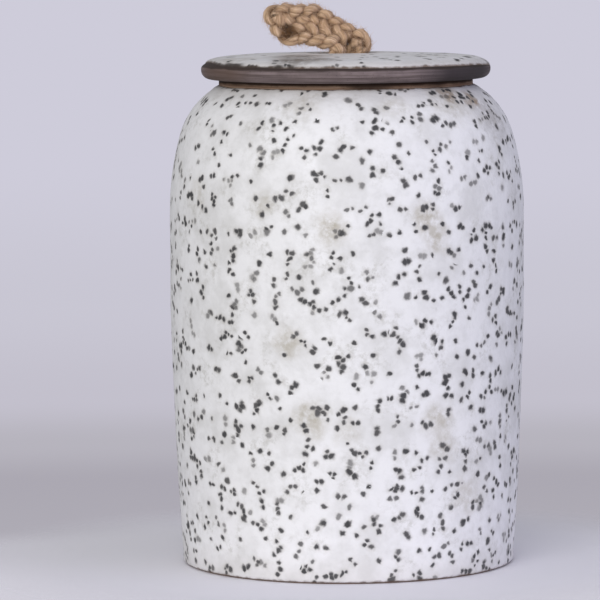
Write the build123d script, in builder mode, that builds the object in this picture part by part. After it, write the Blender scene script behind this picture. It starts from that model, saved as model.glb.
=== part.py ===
from build123d import *
import math
import os

# Stoneware storage jar with a rope-pull lid.
# Millimetres and degrees. +Z is up, and the origin is the centre of the foot, on the table.

# Clearances
seal_clearance = 0.2
plug_clearance = 1.4
rope_clearance = 0.5
rope_gap = 0.3

# Jar body: profile
rim_height = 165.2
neck_height = 2.5
neck_radius = 43.2
mouth_radius = 38.0
belly_radius = 60.0
belly_band = 8.4
base_radius = 56.1
shoulder_lower_radius = 98.0
shoulder_upper_radius = 27.0
shoulder_lower_turn = 16.0
wall = 5.5

# Jar body: floor, foot and edges
floor_height = 7.5
floor_round = 8.0
foot_bevel = 0.8
foot_width = 7.5
foot_recess = 2.0
foot_round = 0.6
rim_round = 0.8
neck_round = 0.8
mouth_round = 1.0

# Lid: disc
lid_radius = 49.2
lid_under_round = 3.0
lid_edge_band = 0.4
lid_corner_round = 1.5
lid_corner_turn = 50.0
lid_shoulder_round = 11.0
lid_dome_slope = 3.0

# Lid: plug that drops into the mouth
plug_depth = 12.0
plug_wall = 5.8
plug_hollow_round = 3.0
plug_lip_round = 1.5
plug_root_round = 0.6
hole_round = 0.9

# Seal ring
seal_drop = 1.2
seal_height = 3.2
groove_depth = 2.0
fin_height = 0.9
fin_round = 0.4
web_setback = 0.2

# Rope
rope_radius = 3.0
hole_spacing = 9.6
knot_turn_radius = 4.6
knot_pitch = 5.2
knot_turn_tilt = 12.0
tail_reach = 10.5
tail_spread = 4.5
tail_drop = 8.0
tail_bend_radius = 5.0

# Rope loop's route in the plane of its two holes: across, and up from the lid's top.
# It rises from the right hole, arcs over to the left, folds back and comes down to the left hole.
loop_route = [
    (2.4, 6.4),
    (-10.5, 14.3),
    (-23.8, 14.5),
    (-25.9, 9.8),
    (-21.8, 5.2),
    (-13.0, 5.8),
]
arc_run_share = 0.45

os.makedirs("parts", exist_ok=True)


def turned_cos(turn):
    return math.cos(math.radians(turn))


def turned_sin(turn):
    return math.sin(math.radians(turn))


def corner_radii(points):
    """Largest arc for each inner corner of a rope's route, from its shorter run."""
    radii = []
    for before, corner, after in zip(points, points[1:], points[2:]):
        run_in = Vector(*corner) - Vector(*before)
        run_out = Vector(*after) - Vector(*corner)
        half_turn = math.radians(run_in.get_angle(run_out)) / 2
        shorter = min(run_in.length, run_out.length)
        radii.append(arc_run_share * shorter / math.tan(half_turn))
    return radii


# Jar body: one hollow revolve with a tapered side and a two-arc shoulder
neck_base = rim_height - neck_height
shoulder_mid_radius = belly_radius - shoulder_lower_radius * (1 - turned_cos(shoulder_lower_turn))
upper_centre_radius = shoulder_mid_radius - shoulder_upper_radius * turned_cos(shoulder_lower_turn)
shoulder_turn = math.degrees(math.acos((neck_radius - upper_centre_radius) / shoulder_upper_radius))
shoulder_rise = shoulder_lower_radius * turned_sin(shoulder_lower_turn)
shoulder_rise += shoulder_upper_radius * (turned_sin(shoulder_turn) - turned_sin(shoulder_lower_turn))
shoulder_base = neck_base - shoulder_rise
belly_height = shoulder_base - belly_band

inner_belly_radius = belly_radius - wall
inner_base_radius = base_radius - wall
inner_upper_radius = shoulder_upper_radius - wall
inner_turn = math.degrees(math.acos((mouth_radius - upper_centre_radius) / inner_upper_radius))
foot_outer_radius = base_radius - foot_bevel
foot_inner_radius = foot_outer_radius - foot_width

with BuildPart() as jar_body:
    with BuildSketch(Plane.XZ) as jar_section:
        with BuildLine():
            TangentArc((belly_radius, belly_height), (base_radius, foot_bevel), tangent=(0, -1))
            band = Line((belly_radius, belly_height), (belly_radius, shoulder_base))
            lower = JernArc(band @ 1, (0, 1), shoulder_lower_radius, shoulder_lower_turn)
            upper = JernArc(
                lower @ 1, lower % 1, shoulder_upper_radius, shoulder_turn - shoulder_lower_turn
            )
            Line(upper @ 1, (neck_radius, rim_height))
            Line((neck_radius, rim_height), (mouth_radius, rim_height))
            inner_band = Line(
                (inner_belly_radius, belly_height), (inner_belly_radius, shoulder_base)
            )
            inner_lower = JernArc(
                inner_band @ 1, (0, 1), shoulder_lower_radius - wall, shoulder_lower_turn
            )
            inner_upper = JernArc(
                inner_lower @ 1, inner_lower % 1, inner_upper_radius, inner_turn - shoulder_lower_turn
            )
            Line(inner_upper @ 1, (mouth_radius, rim_height))
            TangentArc(
                (inner_belly_radius, belly_height),
                (inner_base_radius, floor_height),
                tangent=(0, -1),
            )
            Polyline(
                (inner_base_radius, floor_height),
                (0, floor_height),
                (0, foot_recess),
                (foot_inner_radius, foot_recess),
                (foot_inner_radius, 0),
                (foot_outer_radius, 0),
                (base_radius, foot_bevel),
            )
        make_face()
        corners = jar_section.vertices()
        floor_corner = corners.sort_by_distance((inner_base_radius, floor_height))[0]
        neck_corner = corners.sort_by_distance((neck_radius, neck_base))[0]
        mouth_corner = corners.sort_by_distance(inner_upper @ 1)[0]
        rim_corners = corners.sort_by(Axis.Y)[-2:]
        foot_corner = corners.sort_by_distance((foot_inner_radius, 0))[0]
        fillet(floor_corner, floor_round)
        fillet(neck_corner, neck_round)
        fillet(mouth_corner, mouth_round)
        fillet(rim_corners, rim_round)
        fillet(foot_corner, foot_round)
    revolve(axis=Axis.Z)
jar_body.part.label = "jar_body"
export_step(jar_body.part, "parts/jar_body.step")

# Lid: rounded disc with a shallow dome, and a plug below with a groove for the seal.
# The plug's hollow is as deep as the plug, so that the knot lies up against the disc.
seat_height = rim_height
plug_radius = mouth_radius - plug_clearance
plug_inner_radius = plug_radius - plug_wall
plug_base = seat_height - plug_depth
hollow_height = seat_height
groove_top = seat_height - seal_drop + seal_clearance
groove_base = seat_height - seal_drop - seal_height - seal_clearance
groove_radius = plug_radius - groove_depth
hole_radius = rope_radius + rope_clearance
shoulder_top_turn = 90 - lid_dome_slope

with BuildPart() as lid:
    with BuildSketch(Plane.XZ) as lid_section:
        with BuildLine():
            under = JernArc(
                (lid_radius - lid_under_round, seat_height), (1, 0), lid_under_round, 90
            )
            edge = Line(under @ 1, under @ 1 + Vector(0, lid_edge_band))
            corner = JernArc(edge @ 1, (0, 1), lid_corner_round, lid_corner_turn)
            shoulder = JernArc(
                corner @ 1, corner % 1, lid_shoulder_round, shoulder_top_turn - lid_corner_turn
            )
            dome_radius = (shoulder @ 1).X / turned_sin(lid_dome_slope)
            dome = JernArc(shoulder @ 1, shoulder % 1, dome_radius, lid_dome_slope)
            Polyline(
                dome @ 1,
                (0, hollow_height),
                (plug_inner_radius, hollow_height),
                (plug_inner_radius, plug_base),
                (plug_radius, plug_base),
                (plug_radius, groove_base),
                (groove_radius, groove_base),
                (groove_radius, groove_top),
                (plug_radius, groove_top),
                (plug_radius, seat_height),
                under @ 0,
            )
        make_face()
        corners = lid_section.vertices()
        fillet(corners.sort_by_distance((plug_inner_radius, hollow_height))[0], plug_hollow_round)
        fillet(corners.sort_by_distance((plug_inner_radius, plug_base))[0], plug_lip_round)
        fillet(corners.sort_by_distance((plug_radius, plug_base))[0], plug_lip_round)
        fillet(corners.sort_by_distance((plug_radius, seat_height))[0], plug_root_round)
    revolve(axis=Axis.Z)
    lid_top = lid.part.bounding_box().max.Z
    with Locations((-hole_spacing / 2, 0, lid_top), (hole_spacing / 2, 0, lid_top)):
        Hole(hole_radius, depth=lid_top - plug_base)
    hole_edges = lid.edges().filter_by(
        lambda rim: abs(rim.center().X) > hole_spacing / 4 and rim.center().Z > seat_height
    )
    fillet(hole_edges, hole_round)
lid.part.label = "lid"
export_step(lid.part, "parts/lid.step")

# Seal ring: silicone ring with two fins that press on the mouth
ring_inner_radius = groove_radius + seal_clearance
ring_outer_radius = mouth_radius - seal_clearance
ring_web_radius = plug_radius - web_setback
ring_base = seat_height - seal_drop - seal_height
fin_reach = ring_outer_radius - ring_inner_radius

with BuildPart() as seal_ring:
    with BuildSketch(Plane.XZ) as ring_section:
        with Locations((ring_inner_radius, ring_base)):
            Rectangle(
                ring_web_radius - ring_inner_radius, seal_height, align=(Align.MIN, Align.MIN)
            )
        fin_places = [ring_base, ring_base + seal_height - fin_height]
        with Locations(*[(ring_inner_radius, place) for place in fin_places]):
            Rectangle(fin_reach, fin_height, align=(Align.MIN, Align.MIN))
        fillet(ring_section.vertices().group_by(Axis.X)[-1], fin_round)
    revolve(axis=Axis.Z)
seal_ring.part.label = "seal_ring"
export_step(seal_ring.part, "parts/seal_ring.step")

# Rope loop: it bends over the line through its two round ends, just above the lid
tilt_height = lid_top + rope_radius + rope_gap
right_end = (hole_spacing / 2, 0, tilt_height)
left_end = (-hole_spacing / 2, 0, tilt_height)
loop_points = [right_end]
loop_points += [(across, 0, lid_top + up) for across, up in loop_route]
loop_points += [left_end]
loop_radii = corner_radii(loop_points)

with BuildPart() as handle_loop:
    with BuildLine() as loop_path:
        FilletPolyline(*loop_points, radius=loop_radii)
    loop_line = loop_path.wire()
    with BuildSketch(Plane(origin=loop_line @ 0, z_dir=loop_line % 0)):
        Circle(rope_radius)
    sweep(path=loop_line)
    swept_volume = handle_loop.part.volume
    with Locations(right_end, left_end):
        Sphere(rope_radius)
handle_loop.part.label = "handle_loop"
export_step(handle_loop.part, "parts/handle_loop.step")

# Rope below: two legs through the lid, tied in a knot of three turns, with two short tails
knot_turn_outer = knot_turn_radius + rope_radius
knot_height = hollow_height - rope_gap - knot_turn_outer
leg_top = tilt_height - rope_radius - rope_gap

with BuildPart() as rope_knot:
    with Locations((-hole_spacing / 2, 0, knot_height), (hole_spacing / 2, 0, knot_height)):
        Cylinder(
            rope_radius, leg_top - knot_height, align=(Align.CENTER, Align.CENTER, Align.MIN)
        )
    for side_sign in (-1, 1):
        with BuildLine() as tail_path:
            FilletPolyline(
                (0, 0, knot_height),
                (side_sign * tail_reach, 0, knot_height),
                (side_sign * (tail_reach + tail_spread), 0, knot_height - tail_drop),
                radius=tail_bend_radius,
            )
        with BuildSketch(Plane(origin=tail_path.line @ 0, z_dir=tail_path.line % 0)):
            Circle(rope_radius)
        sweep(path=tail_path.line)
    turn_axis = (turned_cos(knot_turn_tilt), 0, turned_sin(knot_turn_tilt))
    turn_side = knot_turn_radius * turned_sin(knot_turn_tilt)
    turn_up = knot_turn_radius * turned_cos(knot_turn_tilt)
    for place in (-knot_pitch, 0, knot_pitch):
        with BuildSketch(Plane.XZ):
            with Locations((place - turn_side, knot_height + turn_up)):
                Circle(rope_radius)
        revolve(axis=Axis((place, 0, knot_height), turn_axis))
rope_knot.part.label = "rope_knot"
export_step(rope_knot.part, "parts/rope_knot.step")

print("lid top", round(lid_top, 2), "tilt height", round(tilt_height, 2))
print("loop radii", [round(radius, 1) for radius in loop_radii])
print("loop length", round(loop_line.length, 2))
print("loop volume", round(swept_volume, 1), round(math.pi * rope_radius**2 * loop_line.length, 1))
print("knot height", round(knot_height, 2))
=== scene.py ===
import bmesh
import bpy
import math
import random
import numpy as np
from mathutils import Matrix, Vector, noise
from mathutils.bvhtree import BVHTree


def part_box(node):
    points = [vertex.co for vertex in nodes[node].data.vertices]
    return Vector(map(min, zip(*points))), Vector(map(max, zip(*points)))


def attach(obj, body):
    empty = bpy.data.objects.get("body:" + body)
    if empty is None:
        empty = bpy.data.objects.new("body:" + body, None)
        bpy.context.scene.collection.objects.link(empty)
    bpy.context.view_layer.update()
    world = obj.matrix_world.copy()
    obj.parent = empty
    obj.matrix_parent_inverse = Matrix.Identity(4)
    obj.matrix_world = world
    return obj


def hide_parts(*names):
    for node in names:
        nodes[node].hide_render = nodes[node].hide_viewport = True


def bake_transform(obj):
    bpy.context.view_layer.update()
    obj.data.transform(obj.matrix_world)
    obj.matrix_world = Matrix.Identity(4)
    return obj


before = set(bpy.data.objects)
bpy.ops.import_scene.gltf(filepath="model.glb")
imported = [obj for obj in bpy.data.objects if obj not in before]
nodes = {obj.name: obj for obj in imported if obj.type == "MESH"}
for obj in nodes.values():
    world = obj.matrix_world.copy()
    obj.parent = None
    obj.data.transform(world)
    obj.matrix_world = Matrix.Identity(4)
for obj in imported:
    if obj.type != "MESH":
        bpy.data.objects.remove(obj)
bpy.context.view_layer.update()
scene = bpy.context.scene
mm = 0.001
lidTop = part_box("lid")[1].z
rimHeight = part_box("jar_body")[1].z
print("frame loaded, rim", round(rimHeight / mm, 1), "mm, lid top", round(lidTop / mm, 1), "mm")


# node helpers, so that a finish reads as a short recipe
def startMaterial(name, finish):
    material = bpy.data.materials.new(name)
    material.use_nodes = True
    tree = material.node_tree
    shader = tree.nodes["Principled BSDF"]
    for socket, value in finish.items():
        shader.inputs[socket].default_value = value
    return material, tree, shader


def addNode(tree, kind, inputs, **settings):
    node = tree.nodes.new("ShaderNode" + kind)
    for name, value in settings.items():
        setattr(node, name, value)
    for socket, value in inputs.items():
        if isinstance(value, bpy.types.NodeSocket):
            tree.links.new(value, node.inputs[socket])
        else:
            node.inputs[socket].default_value = value
    return node


def calc(tree, operation, first, second=0.0):
    return addNode(tree, "Math", {0: first, 1: second}, operation=operation).outputs[0]


def vectorCalc(tree, operation, first, second):
    return addNode(tree, "VectorMath", {0: first, 1: second}, operation=operation).outputs[0]


def scaledBy(tree, place, factor):
    return addNode(tree, "VectorMath", {0: place, "Scale": factor}, operation="SCALE").outputs[0]


def lengthOf(tree, place):
    return addNode(tree, "VectorMath", {0: place}, operation="LENGTH").outputs["Value"]


def distanceTo(tree, place, centre):
    return addNode(tree, "VectorMath", {0: place, 1: centre}, operation="DISTANCE").outputs["Value"]


def splitAxes(tree, place):
    return addNode(tree, "SeparateXYZ", {0: place}).outputs


def joinAxes(tree, first, second, third=0.0):
    return addNode(tree, "CombineXYZ", {0: first, 1: second, 2: third}).outputs[0]


def remap(tree, value, low, high, toLow=0.0, toHigh=1.0, shape="SMOOTHSTEP"):
    inputs = {0: value, 1: low, 2: high, 3: toLow, 4: toHigh}
    return addNode(tree, "MapRange", inputs, interpolation_type=shape).outputs[0]


def mixColor(tree, share, under, over):
    return addNode(tree, "Mix", {0: share, 6: under, 7: over}, data_type="RGBA").outputs[2]


def mixValue(tree, share, under, over):
    return addNode(tree, "Mix", {0: share, 2: under, 3: over}).outputs[0]


def noiseNode(tree, place, scale, detail=2.0, roughness=0.5):
    inputs = {"Vector": place, "Scale": scale, "Detail": detail, "Roughness": roughness}
    return addNode(tree, "TexNoise", inputs)


def noiseLevel(tree, place, scale, detail=2.0, roughness=0.5):
    return noiseNode(tree, place, scale, detail, roughness).outputs["Fac"]


def mottled(tree, place, pattern):
    size, detail, roughness, span, strength = pattern
    return remap(tree, noiseLevel(tree, place, 1 / size, detail, roughness), *span, 0.0, strength)


def markShare(tree, place, centre, radius, strength, fade):
    # a round mark, at full strength up to the first share of its radius and gone at the second
    start, end = fade
    return remap(tree, distanceTo(tree, place, centre), start * radius, end * radius, strength, 0.0)


def placeInMillimetres(tree):
    return scaledBy(tree, addNode(tree, "TexCoord", {}).outputs["Object"], 1 / mm)


def warped(tree, place, size, reach, detail=1.0):
    swirl = noiseNode(tree, place, 1 / size, detail).outputs["Color"]
    centred = vectorCalc(tree, "SUBTRACT", swirl, (0.5, 0.5, 0.5))
    return vectorCalc(tree, "ADD", place, scaledBy(tree, centred, reach))


def attributeLevel(tree, name):
    return addNode(tree, "Attribute", {}, attribute_name=name).outputs["Fac"]


def wireFinish(tree, shader, color, height, depth, gloss=None):
    bump = addNode(tree, "Bump", {"Height": height, "Distance": depth, "Strength": 1.0})
    tree.links.new(bump.outputs[0], shader.inputs["Normal"])
    tree.links.new(color, shader.inputs["Base Color"])
    if gloss is not None:
        tree.links.new(gloss, shader.inputs["Roughness"])


def addPiece(name, points, faces, material):
    data = bpy.data.meshes.new(name)
    data.from_pydata([tuple(point) for point in points], [], faces)
    data.materials.append(material)
    data.shade_smooth()
    piece = bpy.data.objects.new(name, data)
    scene.collection.objects.link(piece)
    return piece


def setLevels(piece, name, levels):
    levels = np.asarray(levels, dtype=np.float32)
    kind, field = ("FLOAT", "value") if levels.ndim == 1 else ("FLOAT_VECTOR", "vector")
    layer = piece.data.attributes.new(name, kind, "POINT")
    layer.data.foreach_set(field, levels.ravel())


# camera at the photograph's angle: a long lens, a little above the lid
cameraView = {"lens": 264.5, "place": (0.0, -1.5, 0.228), "aim": (-0.0161, 0.0, 0.0894), "roll": -0.40}


def addCamera(view):
    data = bpy.data.cameras.new("camera")
    data.lens = view["lens"]
    camera = bpy.data.objects.new("camera", data)
    look = Vector(view["aim"]) - Vector(view["place"])
    turn = look.to_track_quat("-Z", "Y").to_matrix()
    roll = Matrix.Rotation(math.radians(view["roll"]), 3, "Z")
    camera.location = view["place"]
    camera.rotation_euler = (turn @ roll).to_euler()
    scene.collection.objects.link(camera)
    scene.camera = camera


scene.view_settings.view_transform = "Standard"
addCamera(cameraView)
print("camera placed")

# plaited jute
juteLook = {
    "pale": (0.88, 0.650, 0.462, 1),
    "mid": (0.467, 0.288, 0.158, 1),
    # the colour of painted shade, between the yarns and deep inside the plait
    "dark": (0.098, 0.040, 0.010, 1),
    "finish": {"Roughness": 0.85, "Specular IOR Level": 0.2, "Sheen Weight": 0.1, "Sheen Roughness": 0.5},
    "fibres": (7.0, 3.0, 0.6),  # scale, detail and roughness of the finest noise
    "fibreSpan": (0.3, 0.68),
    "streaks": [(2.6, 0.42, 0.66), (0.9, 0.42, 0.70)],  # scale and span of broader, darker noise
    "streakStrength": 0.6,
    "groove": (0.0, 0.6, 0.45, 0.0),  # span of the painted shade between the yarns, and its strength
    "inner": (0.40, 0.98, 0.90, 0.0),  # the same for painted shade deep inside the plait
    "bump": 0.3 * mm,
}


def juteMaterial(look):
    material, tree, shader = startMaterial("jute", look["finish"])
    fibre = addNode(tree, "Attribute", {}, attribute_name="fibre").outputs["Vector"]
    fine = noiseLevel(tree, fibre, *look["fibres"])
    color = mixColor(tree, remap(tree, fine, *look["fibreSpan"]), look["mid"], look["pale"])
    for scale, low, high in look["streaks"]:
        streak = remap(tree, noiseLevel(tree, fibre, scale), low, high, 0.0, look["streakStrength"])
        color = mixColor(tree, streak, color, look["mid"])
    # painted shade between the yarns and deep inside the plait, mixed into the colour
    groove = remap(tree, attributeLevel(tree, "groove"), *look["groove"])
    inner = remap(tree, attributeLevel(tree, "outside"), *look["inner"])
    color = mixColor(tree, calc(tree, "MAXIMUM", groove, inner), color, look["dark"])
    wireFinish(tree, shader, color, fine, look["bump"])
    return material


jute = juteMaterial(juteLook)


def runningLength(line):
    return np.r_[0, np.cumsum(np.linalg.norm(np.diff(line, axis=0), axis=1))]


def routeLine(points, step):
    data = bpy.data.curves.new("ropeRoute", "CURVE")
    data.dimensions = "3D"
    data.resolution_u = 40
    spline = data.splines.new("NURBS")
    spline.points.add(len(points) - 1)
    for knot, place in zip(spline.points, points):
        knot.co = (*place, 1)
    spline.order_u = 3
    spline.use_endpoint_u = True
    holder = bpy.data.objects.new("ropeRoute", data)
    drawn = bpy.data.meshes.new_from_object(holder)
    line = np.array([corner.co for corner in drawn.vertices])
    bpy.data.meshes.remove(drawn)
    bpy.data.objects.remove(holder)
    bpy.data.curves.remove(data)
    along = runningLength(line)
    even = np.linspace(0, along[-1], int(along[-1] / step) + 1)
    return np.stack([np.interp(even, along, line[:, axis]) for axis in range(3)], axis=1), even


def unit(vectors):
    return vectors / np.linalg.norm(vectors, axis=-1, keepdims=True)


def carriedSides(line, firstSide):
    tangents = unit(np.gradient(line, axis=0))
    sides = [np.array(firstSide, float)]
    for tangent in tangents:
        across = sides[-1] - tangent * (sides[-1] @ tangent)
        sides.append(across / np.linalg.norm(across))
    return tangents, np.array(sides[1:])


plaitLook = {
    "strandRadius": 1.66 * mm,
    "sway": 1.95 * mm,
    "weave": 1.2 * mm,
    "pitch": 14.0 * mm,
    "edgeRun": 0.3,  # flattens the sway, because strands run on along the plait's edge
    "uneven": 0.36,  # how far the sway wanders along the rope
    "swayLength": 6.0 * mm,
    "stray": 0.45 * mm,  # how far a strand wanders from its place in the plait
    "strayLength": 5.0 * mm,
    "swell": 0.26,
    "swellLength": 4.0 * mm,
    "lay": 9.0 * mm,  # one turn of the three yarns in a strand
    "yarnOut": 0.30,
    "yarnSize": 0.74,
    "flatten": 0.94,
    "sides": 30,
    "step": 0.3 * mm,
    "stretch": 0.10,
    "ridges": [(2.2, 0.08), (5.0, 0.05)],  # fineness and depth of bundles of fibre, then of fibres
    "ridgeLength": 5.0 * mm,
    "hollowShade": 0.62,  # how much painted shade a hollow adds, as if it were the plait's inside
}


def drift(along, length, row, column=0.0):
    # smooth noise along a strand, from its own row and column
    return np.array([noise.noise((row, column, place / length)) for place in along])


def strandTube(centre, along, side, look, mark):
    tangent = unit(np.gradient(centre, axis=0))
    across = unit(side - tangent * np.sum(side * tangent, axis=1, keepdims=True))
    out = np.cross(tangent, across)
    angle = np.linspace(0, 2 * math.pi, look["sides"], endpoint=False)
    laid = angle[None, :] - 2 * math.pi * along[:, None] / look["lay"] + mark
    nearest = (laid + math.pi / 3) % (2 * math.pi / 3) - math.pi / 3
    sweep = look["yarnSize"] ** 2 - (look["yarnOut"] * np.sin(nearest)) ** 2
    lobes = look["yarnOut"] * np.cos(nearest) + np.sqrt(sweep)
    swell = drift(along, look["swellLength"], 7.0 * mark)
    radius = look["strandRadius"] * lobes * (1 + look["swell"] * swell[:, None])
    for grain, depth in look["ridges"]:
        ridges = [
            [noise.noise((grain * math.cos(a), grain * math.sin(a), level)) for a in row]
            for row, level in zip(laid, along / look["ridgeLength"] + 9 * mark)
        ]
        radius = radius * (1 + depth * np.array(ridges))
    points = (
        centre[:, None, :]
        + across[:, None, :] * (radius * np.cos(angle))[:, :, None]
        + out[:, None, :] * (radius * np.sin(angle) * look["flatten"])[:, :, None]
    )
    scale = look["strandRadius"] / mm
    fibre = np.stack([
        scale * np.cos(laid),
        scale * np.sin(laid),
        np.broadcast_to(look["stretch"] * along[:, None] / mm + 11 * mark, laid.shape),
    ], axis=2)
    # radius between two yarns, 60 degrees from each, and radius on top of one
    low = look["yarnOut"] * 0.5 + math.sqrt(look["yarnSize"] ** 2 - 0.75 * look["yarnOut"] ** 2)
    high = look["yarnOut"] + look["yarnSize"]
    # 0 between two yarns and 1 on top of one, read as painted shade between the yarns
    groove = (lobes - low) / (high - low)
    return points, fibre, groove


def tubeFaces(rings, sides, first):
    faces = []
    for ring in range(rings - 1):
        for turn in range(sides):
            a = first + ring * sides + turn
            b = first + ring * sides + (turn + 1) % sides
            faces.append((a, b, b + sides, a + sides))
    faces.append(tuple(first + turn for turn in reversed(range(sides))))
    faces.append(tuple(first + (rings - 1) * sides + turn for turn in range(sides)))
    return faces


def strayed(along, mark, look):
    # plain noise for each axis, because Blender's noise vectors differ from run to run
    wander = [drift(along, look["strayLength"], 5.3 * mark, 1.9 + 8.7 * axis) for axis in range(3)]
    return look["stray"] * np.stack(wander, axis=1)


def sunken(points, hollows):
    # how far each point lies in one of the plait's hollows, which gives it painted shade, and how deep that
    # is
    share, depth = np.zeros(points.shape[:-1]), np.zeros(points.shape[:-1])
    for across, up, radius, deep in hollows:
        away = np.hypot(points[..., 0] - across, points[..., 2] - lidTop - up)
        near = np.exp(-(away / radius) ** 2)
        share = np.maximum(share, near)
        depth = depth + deep * near
    return share, depth


def plaitPiece(name, routes, look, material, hollows=()):
    points, faces, fibres, grooves, deepShades, strands = [], [], [], [], [], []
    count = 0
    for number, (line, along, firstSide, spread, lean) in enumerate(routes):
        tangent, flat = carriedSides(line, firstSide)
        tilt = np.radians(lean)[:, None]
        side = flat * np.cos(tilt) + np.cross(tangent, flat) * np.sin(tilt)
        depth = np.cross(tangent, side)
        plaitReach = look["sway"] + look["strandRadius"], look["weave"] + look["strandRadius"]
        for strand in range(3):
            mark = 1.0 + strand + 3 * number  # keeps the strands' noise apart
            width = spread * (1 + look["uneven"] * drift(along, look["swayLength"], 3.1 * mark, 4.7))
            swing = 2 * math.pi * (along / look["pitch"] + strand / 3)
            reach = (1 + look["edgeRun"]) * np.sin(swing) - look["edgeRun"] * np.sin(swing) ** 3
            centre = line + side * (look["sway"] * width * reach)[:, None]
            centre = centre + depth * (look["weave"] * width * np.sin(2 * swing))[:, None]
            centre = centre + strayed(along, mark, look)
            centre[:, 1] += sunken(centre, hollows)[1]
            ring, fibre, groove = strandTube(centre, along, side, look, mark)
            faces += tubeFaces(len(ring), look["sides"], count)
            count += ring.shape[0] * ring.shape[1]
            points.append(ring.reshape(-1, 3))
            fibres.append(fibre.reshape(-1, 3))
            grooves.append(groove.ravel())
            # the nearer a point lies to the plait's middle, the more painted shade it gets
            away = ring - line[:, None, :]
            across = np.sum(away * side[:, None, :], axis=2) / plaitReach[0]
            through = np.sum(away * depth[:, None, :], axis=2) / plaitReach[1]
            shown = 1 - look["hollowShade"] * sunken(ring, hollows)[0]
            deepShades.append((np.hypot(across, through) * shown).ravel())
            strands.append((centre, ring))
    piece = addPiece(name, np.concatenate(points), faces, material)
    setLevels(piece, "fibre", np.concatenate(fibres))
    setLevels(piece, "groove", np.concatenate(grooves))
    setLevels(piece, "outside", np.concatenate(deepShades))
    return piece, strands


fuzzLook = {
    "seed": 11,
    "perMillimetre": 22.0,
    "length": (0.9 * mm, 3.8 * mm),
    "lift": (0.03, 0.55),  # how steeply a stray fibre leaves its strand
    "curl": 1.2,
    "thick": (0.028 * mm, 0.085 * mm),
    "joints": 4,
    "endRows": 3,  # rows at a strand's ends that bear no fibres
    "rooted": 0.2 * mm,
    "taper": 0.75,
    "tints": 40.0,  # spread of the fibres' places in the jute's noise
    "hollowShade": plaitLook["hollowShade"],
}


def strayFibres(name, strands, look, material, hollows):
    rng = random.Random(look["seed"])
    points, faces, fibres = [], [], []
    for centre, ring in strands:
        total = np.sum(np.linalg.norm(np.diff(centre, axis=0), axis=1))
        for _ in range(int(total / mm * look["perMillimetre"])):
            at = rng.randrange(look["endRows"], len(centre) - look["endRows"])
            turn = rng.randrange(ring.shape[1])
            root = Vector(ring[at, turn])
            out = (root - Vector(centre[at])).normalized()
            heading = Vector(centre[at + 2] - centre[at - 2]).normalized() * rng.choice((-1, 1))
            step = rng.uniform(*look["length"]) / look["joints"]
            thick = rng.uniform(*look["thick"])
            lift = rng.uniform(*look["lift"])
            course = (heading + out * lift).normalized()
            bend = Vector([rng.gauss(0, 1) for _ in range(3)]).normalized() * look["curl"]
            spot = root - out * look["rooted"]
            tint = [rng.uniform(0, look["tints"]) for _ in range(3)]
            first = len(points)
            for joint in range(look["joints"] + 1):
                side = course.orthogonal().normalized()
                other = course.cross(side)
                size = thick * (1 - look["taper"] * joint / look["joints"])
                for corner in range(3):
                    angle = 2 * math.pi * corner / 3
                    points.append(spot + size * (math.cos(angle) * side + math.sin(angle) * other))
                    fibres.append(tint)
                spot = spot + course * step
                course = (course + bend / look["joints"]).normalized()
            faces += tubeFaces(look["joints"] + 1, 3, first)
    piece = addPiece(name, points, faces, material)
    setLevels(piece, "fibre", fibres)
    setLevels(piece, "groove", np.ones(len(points)))
    # stray fibres over a hollow get its painted shade too
    setLevels(piece, "outside", 1 - look["hollowShade"] * sunken(np.array(points), hollows)[0])
    return piece


# rope loop: across, to the back and up from the lid's top, out of the right hole and into the left one
ropeLoop = {
    "diameter": 0.0065,
    "length": 0.0775,
    "holeSide": 0.0048,
    "route": [
        (0.0046, 0.0, -0.0040),
        (0.0046, 0.0, -0.0010),
        (0.0034, 0.0003, 0.0012),
        (0.0060, 0.0008, 0.0036),
        (0.0004, 0.0012, 0.0070),
        (-0.0058, 0.0010, 0.0096),
        (-0.0098, 0.0006, 0.0138),
        (-0.0180, 0.0, 0.0128),
        (-0.0262, 0.0, 0.0146),
        (-0.0218, -0.0008, 0.0092),
        (-0.0202, -0.0012, 0.0054),
        (-0.0148, -0.0014, 0.0078),
        (-0.0094, -0.0016, 0.0052),
        (-0.0032, -0.0016, 0.0052),
        (-0.0010, -0.0010, 0.0016),
        (-0.0042, 0.0, -0.0010),
        (-0.0046, 0.0, -0.0040),
    ],
    # share of the rope's length, with the plait's width there, drawn in by the holes, and its lean in degrees
    "spread": [(0.0, 0.76), (0.05, 0.78), (0.09, 1.2), (0.2, 1.1), (0.35, 1.1), (0.5, 0.95), (0.62, 0.9),
               (0.7, 1.12), (0.85, 1.08), (0.91, 1.2), (0.95, 0.78), (1.0, 0.76)],
    "lean": [(0.0, 0.0), (0.2, 24.0), (0.42, -14.0), (0.55, 30.0), (0.64, 34.0), (0.82, -12.0), (1.0, 0.0)],
    # where the plait opens on a hollow, sunk back and darkened with painted shade: across, up from the lid's
    # top, radius and depth
    "hollows": [(-0.0189, 0.0080, 0.0023, 0.0022), (0.0016, 0.0043, 0.0014, 0.0014)],
    "bendFrom": 0.0004,  # above the lid's top
    "bendTo": 0.0064,
}


def alongRope(along, stops):
    share, level = zip(*stops)
    return np.interp(along / along[-1], share, level)


loopPoints = [(across, back, lidTop + up) for across, back, up in ropeLoop["route"]]
loopLine, loopAlong = routeLine(loopPoints, plaitLook["step"])
loopSpread, loopLean = (alongRope(loopAlong, ropeLoop[kind]) for kind in ("spread", "lean"))
loopRoute = (loopLine, loopAlong, (1, 0, 0), loopSpread, loopLean)
handleRope, loopStrands = plaitPiece("handleRope", [loopRoute], plaitLook, jute, ropeLoop["hollows"])
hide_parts("handle_loop")
handleFuzz = strayFibres("handleFuzz", loopStrands, fuzzLook, jute, ropeLoop["hollows"])
for ropePiece in (handleRope, handleFuzz):
    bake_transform(ropePiece)
print("rope loop plaited,", round(loopAlong[-1] / mm, 1), "mm of rope")

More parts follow.
